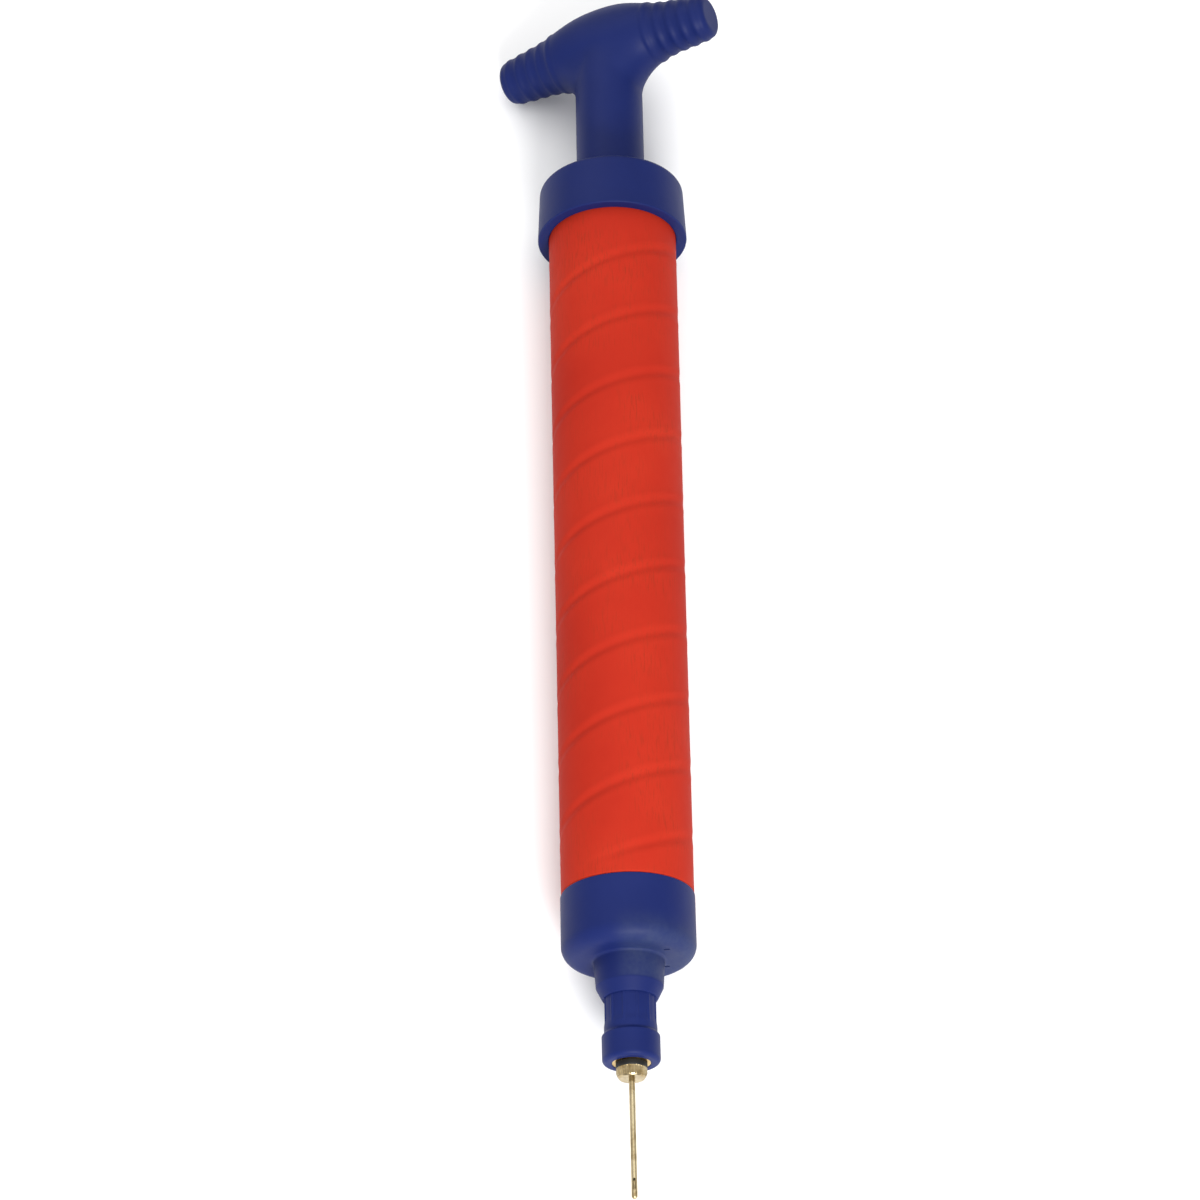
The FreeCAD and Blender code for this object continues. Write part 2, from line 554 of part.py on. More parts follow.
os.makedirs("parts", exist_ok=True)
for obj in PIECES:
    obj.Shape.exportStep("parts/%s.step" % obj.Label)
    box = obj.Shape.BoundBox
    print("%-14s solids %d  volume %9.2f  x %8.2f %8.2f  y %7.2f %7.2f  z %6.3f %6.3f" % (
        obj.Label, len(obj.Shape.Solids), obj.Shape.Volume, box.XMin, box.XMax,
        box.YMin, box.YMax, box.ZMin, box.ZMax))
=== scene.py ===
import math
import bmesh
import bpy
import numpy as np
from mathutils import Matrix, Vector


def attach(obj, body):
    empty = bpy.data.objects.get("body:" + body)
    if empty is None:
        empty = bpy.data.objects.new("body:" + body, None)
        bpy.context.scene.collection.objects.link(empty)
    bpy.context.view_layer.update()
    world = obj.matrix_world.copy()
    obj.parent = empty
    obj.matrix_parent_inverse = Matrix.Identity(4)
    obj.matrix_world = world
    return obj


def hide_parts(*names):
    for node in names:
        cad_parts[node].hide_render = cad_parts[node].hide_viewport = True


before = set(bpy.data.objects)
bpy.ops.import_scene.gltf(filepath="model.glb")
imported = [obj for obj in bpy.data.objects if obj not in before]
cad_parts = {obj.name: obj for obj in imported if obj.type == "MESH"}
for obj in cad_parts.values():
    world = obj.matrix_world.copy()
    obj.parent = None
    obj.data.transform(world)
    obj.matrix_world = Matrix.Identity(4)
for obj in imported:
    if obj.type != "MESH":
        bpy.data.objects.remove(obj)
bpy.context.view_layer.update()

# Hand ball-inflation pump lying on its side: needle towards -X, handle towards +X.
# Lathe profiles are written as (Z, r) in millimetres in the pump's own frame: Z runs
# along the axis, from 40 mm in front of the needle insert's face towards the handle.
SHIFT_X = -179.62
AXIS_H = 20.5
HANDLE_TURN = 28.87


def to_world(z, r, phi):
    """phi 0 is straight up, +90 degrees is towards +Y."""
    return ((z + SHIFT_X) / 1000.0, r * np.sin(phi) / 1000.0, (AXIS_H + r * np.cos(phi)) / 1000.0)


# ---------------------------------------------------------------- mesh helpers

def add_mesh(name, verts, faces, smooth=True):
    me = bpy.data.meshes.new(name)
    me.from_pydata([tuple(map(float, v)) for v in verts], [], faces)
    me.validate()
    me.update()
    obj = bpy.data.objects.new(name, me)
    bpy.context.scene.collection.objects.link(obj)
    if smooth:
        me.polygons.foreach_set("use_smooth", [True] * len(me.polygons))
    return obj


def outward(obj):
    bm = bmesh.new()
    bm.from_mesh(obj.data)
    bmesh.ops.recalc_face_normals(bm, faces=bm.faces[:])
    if bm.calc_volume(signed=True) < 0:
        bmesh.ops.reverse_faces(bm, faces=bm.faces[:])
    bm.to_mesh(obj.data)
    bm.free()
    obj.data.update()


def round_profile(points, seg=5):
    """points: (Z, r) or (Z, r, radius) corners of a closed outline. Corners with a radius are
    replaced by arcs."""
    n = len(points)
    out = []
    for i in range(n):
        p = np.array(points[i][:2], float)
        rad = points[i][2] if len(points[i]) > 2 else 0.0
        a = np.array(points[i - 1][:2], float)
        b = np.array(points[(i + 1) % n][:2], float)
        if rad <= 0:
            out.append(tuple(p))
            continue
        u = (a - p) / np.linalg.norm(a - p)
        v = (b - p) / np.linalg.norm(b - p)
        cosang = float(np.clip(np.dot(u, v), -1, 1))
        half = math.acos(cosang) / 2
        t = rad / math.tan(half)
        t = min(t, 0.49 * np.linalg.norm(a - p), 0.49 * np.linalg.norm(b - p))
        rr = t * math.tan(half)
        w = (u + v) / np.linalg.norm(u + v)
        centre = p + w * rr / math.sin(half)
        p0, p1 = p + u * t, p + v * t
        a0 = math.atan2(*(p0 - centre)[::-1])
        a1 = math.atan2(*(p1 - centre)[::-1])
        da = (a1 - a0 + math.pi) % (2 * math.pi) - math.pi
        k = max(2, seg)
        for j in range(k + 1):
            ang = a0 + da * j / k
            out.append((centre[0] + rr * math.cos(ang), centre[1] + rr * math.sin(ang)))
    return out


def densify(prof, step):
    """Splits long stretches, so that no stretch is longer than step."""
    out = []
    n = len(prof)
    for i in range(n):
        p, q = np.array(prof[i]), np.array(prof[(i + 1) % n])
        d = float(np.linalg.norm(q - p))
        k = max(1, int(math.ceil(d / step)))
        for j in range(k):
            out.append(tuple(p + (q - p) * j / k))
    return out


def lathe(name, prof, seg=128, bump=None, turn=0.0):
    """Closed solid turned from a closed outline of (Z, r). bump(Z, r, phi) gives a radial offset
    in millimetres. Points on the axis become single vertices."""
    phis = np.linspace(0, 2 * math.pi, seg, endpoint=False) + turn
    verts, rings = [], []
    for (z, r) in prof:
        if r < 1e-6:
            rings.append([len(verts)])
            verts.append(to_world(z, 0.0, 0.0))
            continue
        rr = np.full(seg, r)
        if bump is not None:
            rr = rr + bump(z, r, phis)
        x, y, zz = to_world(z, rr, phis)
        start = len(verts)
        verts += list(zip(np.full(seg, x), y, zz))
        rings.append(list(range(start, start + seg)))
    faces = []
    m = len(rings)
    for i in range(m):
        a, b = rings[i], rings[(i + 1) % m]
        if len(a) == 1 and len(b) == 1:
            continue
        for j in range(seg):
            k = (j + 1) % seg
            if len(a) == 1:
                faces.append((a[0], b[k], b[j]))
            elif len(b) == 1:
                faces.append((a[j], a[k], b[0]))
            else:
                faces.append((a[j], a[k], b[k], b[j]))
    obj = add_mesh(name, verts, faces)
    outward(obj)
    return obj


def sharpen(obj, degrees=32):
    """Flat-looking faces stay flat: edges sharper than the angle are split in shading only."""
    limit = math.radians(degrees)
    bm = bmesh.new()
    bm.from_mesh(obj.data)
    for e in bm.edges:
        if len(e.link_faces) == 2 and e.calc_face_angle(0) > limit:
            e.smooth = False
    bm.to_mesh(obj.data)
    bm.free()


# ---------------------------------------------------------------- materials

def node(nt, kind, x, y, **values):
    n = nt.nodes.new(kind)
    n.location = (x, y)
    for k, v in values.items():
        if k in n.inputs:
            n.inputs[k].default_value = v
        else:
            setattr(n, k, v)
    return n


def ramp(nt, x, y, stops):
    n = nt.nodes.new("ShaderNodeValToRGB")
    n.location = (x, y)
    cr = n.color_ramp
    while len(cr.elements) < len(stops):
        cr.elements.new(0.5)
    for e, (pos, col) in zip(cr.elements, stops):
        e.position = pos
        e.color = col if len(col) == 4 else (*col, 1.0)
    return n


def srgb(r, g, b):
    def f(c):
        c = c / 255.0
        return c / 12.92 if c <= 0.04045 else ((c + 0.055) / 1.055) ** 2.4
    return (f(r), f(g), f(b), 1.0)


def new_material(name):
    m = bpy.data.materials.new(name)
    m.use_nodes = True
    nt = m.node_tree
    nt.nodes.clear()
    out = node(nt, "ShaderNodeOutputMaterial", 900, 0)
    bsdf = node(nt, "ShaderNodeBsdfPrincipled", 600, 0)
    nt.links.new(bsdf.outputs[0], out.inputs[0])
    coord = node(nt, "ShaderNodeTexCoord", -1200, 0)
    return m, nt, bsdf, coord


def scaled(nt, coord, scale, x, y):
    mp = node(nt, "ShaderNodeMapping", x, y)
    mp.inputs["Scale"].default_value = scale
    nt.links.new(coord.outputs["Object"], mp.inputs["Vector"])
    return mp


def moulded(name, base, dark, light, rough=0.42, grain=900.0, grain_depth=0.06, streaks=0.0, streak_cols=None,
            wear=0.0, spec=0.5):
    """Injection-moulded plastic: slow tint drift, fine orange-peel grain, gloss that varies,
    rubbed lighter edges, and optionally fine draw lines along the axis."""
    m, nt, bsdf, coord = new_material(name)
    L = nt.links.new
    slow = node(nt, "ShaderNodeTexNoise", -900, 300, Scale=28.0, Detail=4.0, Roughness=0.55)
    L(coord.outputs["Object"], slow.inputs["Vector"])
    tint = ramp(nt, -650, 300, [(0.30, dark), (0.52, base), (0.75, light)])
    L(slow.outputs["Fac"], tint.inputs[0])
    colour = tint.outputs[0]
    if streaks > 0:
        mp = scaled(nt, coord, (260.0, 2400.0, 2400.0), -900, 0)
        st = node(nt, "ShaderNodeTexNoise", -700, 0, Scale=1.0, Detail=3.0, Roughness=0.6)
        L(mp.outputs[0], st.inputs["Vector"])
        mask = ramp(nt, -500, 0, [(0.50, (0, 0, 0)), (0.70, (1, 1, 1))])
        L(st.outputs["Fac"], mask.inputs[0])
        patch = node(nt, "ShaderNodeTexNoise", -700, -200, Scale=55.0, Detail=3.0, Roughness=0.5)
        L(coord.outputs["Object"], patch.inputs["Vector"])
        pm = ramp(nt, -500, -200, [(0.40, (0, 0, 0)), (0.62, (1, 1, 1))])
        L(patch.outputs["Fac"], pm.inputs[0])
        mul = node(nt, "ShaderNodeMath", -300, -80, operation="MULTIPLY")
        L(mask.outputs[0], mul.inputs[0])
        L(pm.outputs[0], mul.inputs[1])
        sc = node(nt, "ShaderNodeMath", -150, -80, operation="MULTIPLY")
        L(mul.outputs[0], sc.inputs[0])
        sc.inputs[1].default_value = streaks
        mx = node(nt, "ShaderNodeMixRGB", 0, 100)
        L(sc.outputs[0], mx.inputs[0])
        L(colour, mx.inputs[1])
        mx.inputs[2].default_value = streak_cols or dark
        colour = mx.outputs[0]
    if wear > 0:
        geo = node(nt, "ShaderNodeNewGeometry", -900, -500)
        bev = node(nt, "ShaderNodeBevel", -900, -700)
        bev.samples = 4
        bev.inputs["Radius"].default_value = 0.0006
        dot = node(nt, "ShaderNodeVectorMath", -700, -600, operation="DOT_PRODUCT")
        L(geo.outputs["Normal"], dot.inputs[0])
        L(bev.outputs[0], dot.inputs[1])
        em = ramp(nt, -500, -600, [(0.90, (1, 1, 1)), (0.995, (0, 0, 0))])
        L(dot.outputs["Value"], em.inputs[0])
        wn = node(nt, "ShaderNodeTexNoise", -700, -800, Scale=420.0, Detail=4.0, Roughness=0.6)
        L(coord.outputs["Object"], wn.inputs["Vector"])
        wr = ramp(nt, -500, -800, [(0.42, (0, 0, 0)), (0.62, (1, 1, 1))])
        L(wn.outputs["Fac"], wr.inputs[0])
        wm = node(nt, "ShaderNodeMath", -300, -700, operation="MULTIPLY")
        L(em.outputs[0], wm.inputs[0])
        L(wr.outputs[0], wm.inputs[1])
        ws = node(nt, "ShaderNodeMath", -150, -700, operation="MULTIPLY")
        L(wm.outputs[0], ws.inputs[0])
        ws.inputs[1].default_value = wear
        mw = node(nt, "ShaderNodeMixRGB", 200, 100)
        L(ws.outputs[0], mw.inputs[0])
        L(colour, mw.inputs[1])
        mw.inputs[2].default_value = light
        colour = mw.outputs[0]
    L(colour, bsdf.inputs["Base Color"])
    rn = node(nt, "ShaderNodeTexNoise", -300, -350, Scale=70.0, Detail=5.0, Roughness=0.6)
    L(coord.outputs["Object"], rn.inputs["Vector"])
    rr = node(nt, "ShaderNodeMapRange", -100, -350)
    rr.inputs["To Min"].default_value = rough - 0.06
    rr.inputs["To Max"].default_value = rough + 0.08
    L(rn.outputs["Fac"], rr.inputs["Value"])
    L(rr.outputs[0], bsdf.inputs["Roughness"])
    g1 = node(nt, "ShaderNodeTexNoise", -300, -1000, Scale=grain, Detail=3.0, Roughness=0.5)
    L(coord.outputs["Object"], g1.inputs["Vector"])
    b1 = node(nt, "ShaderNodeBump", 200, -900, Strength=0.5, Distance=grain_depth / 1000.0)
    L(g1.outputs["Fac"], b1.inputs["Height"])
    g2 = node(nt, "ShaderNodeTexNoise", -300, -1200, Scale=90.0, Detail=2.0, Roughness=0.5)
    L(coord.outputs["Object"], g2.inputs["Vector"])
    b2 = node(nt, "ShaderNodeBump", 400, -900, Strength=0.35, Distance=0.00025)
    L(g2.outputs["Fac"], b2.inputs["Height"])
    L(b1.outputs[0], b2.inputs["Normal"])
    if streaks > 0:
        mp2 = scaled(nt, coord, (4.0, 1500.0, 1500.0), -500, -1400)
        s2 = node(nt, "ShaderNodeTexNoise", -300, -1400, Scale=1.0, Detail=2.0, Roughness=0.5)
        L(mp2.outputs[0], s2.inputs["Vector"])
        b3 = node(nt, "ShaderNodeBump", 500, -1100, Strength=0.25, Distance=0.00004)
        L(s2.outputs["Fac"], b3.inputs["Height"])
        L(b2.outputs[0], b3.inputs["Normal"])
        L(b3.outputs[0], bsdf.inputs["Normal"])
    else:
        L(b2.outputs[0], bsdf.inputs["Normal"])
    bsdf.inputs["Specular IOR Level"].default_value = spec
    return m


def painted_side_highlight(mat, tint, z_full, z_none, y_full, y_none, end_full, end_none, highlight_amount):
    """Painted highlight: a lighter tint over one side of a moulding, standing in for light falling on that
    side, broken up by two scales of noise.
    """
    nt = mat.node_tree
    L = nt.links.new
    bsdf = next(n for n in nt.nodes if n.type == "BSDF_PRINCIPLED")
    src = bsdf.inputs["Base Color"].links[0].from_socket
    tc = node(nt, "ShaderNodeTexCoord", -1500, 900)
    sep = node(nt, "ShaderNodeSeparateXYZ", -1300, 900)
    L(tc.outputs["Object"], sep.inputs[0])
    parts = []
    for axis, full, none, row in (("X", z_full, z_none, 1000), ("Y", y_full, y_none, 800),
                                  ("X", end_full, end_none, 1200)):
        mr = node(nt, "ShaderNodeMapRange", -1100, row, interpolation_type="SMOOTHSTEP")
        L(sep.outputs[axis], mr.inputs["Value"])
        mr.inputs["From Min"].default_value = none
        mr.inputs["From Max"].default_value = full
        parts.append(mr)
    for scale, lo, hi, row in ((160.0, 0.30, 0.62, 600), (900.0, 0.20, 0.60, 400)):
        nz = node(nt, "ShaderNodeTexNoise", -1300, row, Scale=scale, Detail=4.0, Roughness=0.6)
        L(tc.outputs["Object"], nz.inputs["Vector"])
        mr = node(nt, "ShaderNodeMapRange", -1100, row)
        L(nz.outputs["Fac"], mr.inputs["Value"])
        mr.inputs["From Min"].default_value = lo
        mr.inputs["From Max"].default_value = hi
        mr.inputs["To Min"].default_value = 0.55
        parts.append(mr)
    fac = parts[0].outputs[0]
    for k, mr in enumerate(parts[1:]):
        mul = node(nt, "ShaderNodeMath", -850 + 150 * k, 700, operation="MULTIPLY")
        L(fac, mul.inputs[0])
        L(mr.outputs[0], mul.inputs[1])
        fac = mul.outputs[0]
    amt = node(nt, "ShaderNodeMath", -350, 700, operation="MULTIPLY")
    L(fac, amt.inputs[0])
    amt.inputs[1].default_value = highlight_amount
    mx = node(nt, "ShaderNodeMixRGB", -150, 700)
    L(amt.outputs[0], mx.inputs[0])
    L(src, mx.inputs[1])
    mx.inputs[2].default_value = tint
    L(mx.outputs[0], bsdf.inputs["Base Color"])
    return mat


def metal(name, base, dark, rough=0.24, brush=(400.0, 400.0, 400.0)):
    m, nt, bsdf, coord = new_material(name)
    L = nt.links.new
    bsdf.inputs["Metallic"].default_value = 1.0
    n1 = node(nt, "ShaderNodeTexNoise", -900, 300, Scale=260.0, Detail=5.0, Roughness=0.6)
    L(coord.outputs["Object"], n1.inputs["Vector"])
    tint = ramp(nt, -650, 300, [(0.34, dark), (0.58, base)])
    L(n1.outputs["Fac"], tint.inputs[0])
    L(tint.outputs[0], bsdf.inputs["Base Color"])
    mp = scaled(nt, coord, brush, -900, -100)
    n2 = node(nt, "ShaderNodeTexNoise", -650, -100, Scale=1.0, Detail=3.0, Roughness=0.6)
    L(mp.outputs[0], n2.inputs["Vector"])
    rr = node(nt, "ShaderNodeMapRange", -350, -100)
    rr.inputs["To Min"].default_value = rough - 0.07
    rr.inputs["To Max"].default_value = rough + 0.14
    L(n2.outputs["Fac"], rr.inputs["Value"])
    L(rr.outputs[0], bsdf.inputs["Roughness"])
    b = node(nt, "ShaderNodeBump", 200, -500, Strength=0.35, Distance=0.00003)
    L(n2.outputs["Fac"], b.inputs["Height"])
    L(b.outputs[0], bsdf.inputs["Normal"])
    return m


def rubber(name, base, light, rough=0.62):
    m, nt, bsdf, coord = new_material(name)
    L = nt.links.new
    n1 = node(nt, "ShaderNodeTexNoise", -900, 300, Scale=500.0, Detail=6.0, Roughness=0.7)
    L(coord.outputs["Object"], n1.inputs["Vector"])
    tint = ramp(nt, -650, 300, [(0.40, base), (0.75, light)])
    L(n1.outputs["Fac"], tint.inputs[0])
    L(tint.outputs[0], bsdf.inputs["Base Color"])
    bsdf.inputs["Roughness"].default_value = rough
    b = node(nt, "ShaderNodeBump", 200, -500, Strength=0.4, Distance=0.00004)
    L(n1.outputs["Fac"], b.inputs["Height"])
    L(b.outputs[0], bsdf.inputs["Normal"])
    return m


BLUE = moulded("blue_moulded_plastic", srgb(18, 31, 86), srgb(16, 28, 80), srgb(22, 35, 92),
               rough=0.50, grain=1400.0, grain_depth=0.03, wear=0.5, spec=0.13)
# Needle-end cap material: a painted highlight, a lighter tint on the -Y side of the boss and dome, stands in
# for light falling from that side.
BLUE_CAP_PAINTED_HIGHLIGHT = painted_side_highlight(moulded("blue_moulded_plastic_painted_highlight", srgb(18, 31, 86), srgb(16, 28, 80), srgb(22, 35, 92),
                           rough=0.52, grain=1400.0, grain_depth=0.03, wear=0.5, spec=0.13),
                   srgb(44, 54, 88), -0.1135, -0.1045, -0.0015, 0.0050, -0.1198, -0.1206, 0.85)
RED = moulded("red_moulded_plastic", srgb(172, 44, 29), srgb(164, 40, 27), srgb(179, 49, 32),
              rough=0.52, grain=1100.0, grain_depth=0.03, streaks=0.55, streak_cols=srgb(132, 46, 28), wear=0.3,
              spec=0.02)
NATURAL = moulded("natural_acetal", srgb(222, 220, 210), srgb(206, 203, 190), srgb(232, 231, 224),
                  rough=0.38, grain=900.0, grain_depth=0.02, wear=0.2)
NEEDLE = metal("nickel_plated_brass", srgb(194, 179, 144), srgb(146, 124, 84), rough=0.20)
BRASS = metal("turned_brass", srgb(206, 178, 116), srgb(176, 142, 82), rough=0.26, brush=(2500.0, 200.0, 200.0))
STEEL = metal("zinc_plated_steel", srgb(206, 208, 210), srgb(170, 172, 176), rough=0.28)
RUBBER = rubber("black_rubber", srgb(5, 5, 5), srgb(14, 14, 13))


# ---------------------------------------------------------------- barrel
BARREL_LOW, BARREL_RIM, BARREL_TOP = 83.4, 278.4, 290.4
LEAD = 2 * 19.294          # two grooves, each one turn in 38.6 mm
GROOVE_Z0 = 40.0 + 223.18  # where a groove crosses the top line


def barrel_outer(z):
    t = np.clip((z - BARREL_LOW) / (BARREL_RIM - BARREL_LOW), 0, 1)
    return 16.85 + (17.5 - 16.85) * t


def groove(z, r, phi):
    """Shallow rounded groove that dies out before the caps and is shallower at the mould's
    parting lines, on the two sides."""
    if r < 16.0:
        return np.zeros_like(phi)
    half = LEAD / 2
    u = (z - GROOVE_Z0) + LEAD * phi / (2 * math.pi)
    u = (u + half / 2) % half - half / 2
    body = -0.38 * np.exp(-(np.abs(u) / 1.15) ** 2.2)
    shoulder = 0.05 * np.exp(-((np.abs(u) - 2.4) / 0.9) ** 2)
    fade = np.clip((z - BARREL_LOW - 3.0) / 5.0, 0, 1) * np.clip((BARREL_RIM - 3.0 - z) / 5.0, 0, 1)
    fade = fade * fade * (3 - 2 * fade)
    side = np.clip((np.abs(np.cos(phi)) - 0.12) / 0.60, 0, 1)
    side = 0.22 + 0.78 * side * side * (3 - 2 * side)
    swell = 0.03 * np.sin(z / 31.0 + 0.6) * np.cos(2 * phi + z / 90.0)
    return (body * side + shoulder) * fade - 0.02 + swell * fade


def make_barrel():
    outer = []
    zs = np.concatenate([[BARREL_LOW + 0.0], np.arange(BARREL_LOW + 0.25, BARREL_TOP - 0.3, 0.55)])
    prof = [(BARREL_LOW, 15.0 + 0.25), (BARREL_LOW, 16.85 - 0.25)]
    prof += [(float(z), float(barrel_outer(z))) for z in zs[1:]]
    prof += [(BARREL_TOP, 17.5 - 0.3), (BARREL_TOP, 15.3)]
    inner = np.linspace(BARREL_TOP - 0.3, BARREL_LOW + 0.25, 24)
    prof += [(float(z), 15.0) for z in inner]
    return lathe("barrel_skin", prof, seg=224, bump=groove)


barrel = make_barrel()
barrel.data.materials.append(RED)
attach(barrel, "barrel")
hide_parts("barrel_tube")

# ---------------------------------------------------------------- cap at the handle's end
prof = densify(round_profile([
    (278.4, 17.55, 0.3), (278.4, 20.5, 0.45), (294.5, 19.75, 1.7), (294.5, 7.0, 0.25),
    (290.45, 7.0), (290.45, 17.55)], seg=8), 2.5)
top_cap = lathe("top_cap_skin", prof, seg=192)
sharpen(top_cap, 40)
top_cap.data.materials.append(BLUE)
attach(top_cap, "barrel")
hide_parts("top_cap")

def cutter(name, verts_mm):
    """Convex cutter from eight corners in the pump's own frame (Z, across, up)."""
    pts = [((z + SHIFT_X) / 1000.0, y / 1000.0, (AXIS_H + u) / 1000.0) for z, y, u in verts_mm]
    faces = [(0, 1, 2, 3), (7, 6, 5, 4), (0, 4, 5, 1), (1, 5, 6, 2), (2, 6, 7, 3), (3, 7, 4, 0)]
    obj = add_mesh(name, pts, faces, smooth=False)
    outward(obj)
    return obj


def apply_boolean(obj, tool):
    mod = obj.modifiers.new("cut", "BOOLEAN")
    mod.operation = "DIFFERENCE"
    mod.solver = "EXACT"
    mod.object = tool
    dg = bpy.context.evaluated_depsgraph_get()
    me = bpy.data.meshes.new_from_object(obj.evaluated_get(dg))
    obj.modifiers.clear()
    old = obj.data
    obj.data = me
    bpy.data.meshes.remove(old)
    tm = tool.data
    bpy.data.objects.remove(tool)
    bpy.data.meshes.remove(tm)


# ---------------------------------------------------------------- cap at the needle's end
prof = densify(round_profile([
    (56.0, 5.65), (56.0, 6.95, 0.25), (59.15, 8.5, 0.5), (66.3, 9.0, 0.9), (66.3, 17.05, 6.4),
    (83.4, 17.05, 0.25), (83.4, 14.93), (89.3, 14.93), (89.3, 13.3), (91.1, 13.3), (91.1, 14.93),
    (94.3, 14.93, 0.3), (94.3, 11.5, 0.3), (73.5, 11.5, 0.6), (69.5, 8.6), (69.5, 5.65)], seg=10), 1.6)
bottom_cap = lathe("bottom_cap_skin", prof, seg=224)
# two short slots beside the boss: across, up, floor of the slot along the axis
for n, (across, height, floor_z) in enumerate(((-9.35, 7.4, 66.7), (-9.45, -4.1, 66.65))):
    box = [(zc, across + dy, height + du) for zc in (63.6, floor_z)
           for dy, du in ((-0.72, -0.42), (0.72, -0.42), (0.72, 0.42), (-0.72, 0.42))]
    apply_boolean(bottom_cap, cutter("slot_%d" % n, box))
sharpen(bottom_cap, 40)
# the cap's material carries a painted highlight on the -Y side of the boss and dome
bottom_cap.data.materials.append(BLUE_CAP_PAINTED_HIGHLIGHT)
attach(bottom_cap, "barrel")
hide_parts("bottom_cap")


# ---------------------------------------------------------------- nozzle with twelve fine ribs on its neck
def neck_ribs(z, r, phi):
    if not (48.8 < z < 56.2) or r < 6.3:
        return np.zeros_like(phi)
    w = np.abs((((phi - 0.2618) * 12 / (2 * math.pi)) + 0.5) % 1.0 - 0.5) * (2 * math.pi / 12) * r
    ends = min(1.0, max(0.0, (z - 48.8) / 1.2))
    return -0.22 * ends * (1.0 - np.exp(-(w / 0.34) ** 4))


prof = densify(round_profile([
    (39.15, 4.85, 0.15), (39.15, 7.3, 2.1), (46.2, 7.3, 0.6), (46.9, 6.65, 0.6), (56.0, 6.65), (56.0, 5.6),
    (57.1, 5.6), (57.1, 4.55), (58.3, 4.55), (58.3, 5.6), (61.0, 5.6, 0.2), (61.0, 3.0, 0.2),
    (58.0, 3.0), (58.0, 2.2), (50.0, 2.2), (50.0, 4.85)], seg=9), 0.6)
nozzle = lathe("nozzle_skin", prof, seg=288, bump=neck_ribs)
sharpen(nozzle, 40)
nozzle.data.materials.append(BLUE)
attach(nozzle, "barrel")
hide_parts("nozzle")

# ---------------------------------------------------------------- threaded insert
prof = densify(round_profile([
    (39.3, 3.65, 0.3), (39.3, 4.85, 0.1), (50.0, 4.85), (50.0, 2.2), (48.8, 2.2), (48.8, 3.65)], seg=4), 0.8)
insert = lathe("needle_insert_skin", prof, seg=96)
sharpen(insert, 40)
insert.data.materials.append(BRASS)
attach(insert, "barrel")
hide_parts("needle_insert")

# ---------------------------------------------------------------- needle gasket
prof = densify(round_profile([
    (37.8, 2.5, 0.2), (37.8, 3.95, 0.3), (39.3, 3.95, 0.2), (39.3, 2.5, 0.2)], seg=6), 0.4)
gasket = lathe("needle_gasket_skin", prof, seg=96)
gasket.data.materials.append(RUBBER)
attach(gasket, "needle_seal")
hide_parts("needle_gasket")


# ---------------------------------------------------------------- needle hub, knurled
def knurl(z, r, phi):
    if not (35.55 < z < 37.78) or r < 3.4:
        return np.zeros_like(phi)
    u = ((phi * 34 / (2 * math.pi)) % 1.0) - 0.5
    ends = min(1.0, (z - 35.55) / 0.2, (37.78 - z) / 0.15)
    return -0.25 * max(0.0, ends) * np.exp(-(np.abs(u) / 0.27) ** 3.0)


def thread(z, r, phi):
    """Cut thread, 0.794 mm pitch, right-handed."""
    if not (40.6 < z < 47.0) or r < 3.4:
        return np.zeros_like(phi)
    u = ((z - 40.6) / 0.79375 + phi / (2 * math.pi)) % 1.0
    return -0.36 * (1 - np.abs(2 * u - 1)) * min(1.0, (z - 40.6) / 0.5, (47.0 - z) / 0.5)


prof = round_profile([
    (35.2, 0.8), (35.2, 3.15, 0.18), (35.6, 3.5, 0.1), (36.6, 3.9, 0.3), (37.8, 3.9, 0.12),
    (37.8, 2.45), (40.4, 2.45), (40.4, 3.6, 0.15), (46.7, 3.6), (47.2, 3.1),
    (47.2, 1.1, 0.1), (43.0, 1.1), (43.0, 0.8)], seg=5)
prof = densify(prof, 0.15)
hub = lathe("needle_hub_skin", prof, seg=408, bump=lambda z, r, p: knurl(z, r, p) + thread(z, r, p))
sharpen(hub, 50)
hub.data.materials.append(NEEDLE)
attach(hub, "needle")
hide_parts("needle_hub")

# ---------------------------------------------------------------- needle tube with its side slot
tip = [(4.45 + 0.8 - 0.8 * math.cos(a), 0.8 * math.sin(a)) for a in np.linspace(0, math.pi / 2, 12)]
prof = tip + [(float(z), 0.8) for z in np.linspace(6.0, 42.8, 40)] + [(43.0, 0.72), (43.0, 0.5)]
prof += [(float(z), 0.45) for z in np.linspace(42.8, 7.4, 30)] + [(6.75, 0.3), (6.7, 0.0)]
tube = lathe("needle_tube_skin", prof, seg=48)


# rounded slot through the wall on the upper side
slot_pts = []
slot_tool = None
bm = bmesh.new()
outline = []
for k in range(17):
    a = math.pi / 2 + math.pi * k / 16
    outline.append((6.95 + 0.3 * math.cos(a), 0.3 * math.sin(a)))
for k in range(17):
    a = -math.pi / 2 + math.pi * k / 16
    outline.append((9.35 + 0.3 * math.cos(a), 0.3 * math.sin(a)))
low = [bm.verts.new(((z + SHIFT_X) / 1000, (y) / 1000, (AXIS_H + 0.15) / 1000)) for z, y in outline]
high = [bm.verts.new(((z + SHIFT_X) / 1000, (y) / 1000, (AXIS_H + 1.4) / 1000)) for z, y in outline]
bm.faces.new(low)
bm.faces.new(high[::-1])
for i in range(len(low)):
    j = (i + 1) % len(low)
    bm.faces.new((low[j], low[i], high[i], high[j]))
bmesh.ops.recalc_face_normals(bm, faces=bm.faces[:])
me = bpy.data.meshes.new("slot_tool")
bm.to_mesh(me)
bm.free()
slot_tool = bpy.data.objects.new("slot_tool", me)
bpy.context.scene.collection.objects.link(slot_tool)
apply_boolean(tube, slot_tool)
sharpen(tube, 40)
tube.data.materials.clear()
tube.data.materials.append(NEEDLE)
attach(tube, "needle")
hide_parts("needle_tube")

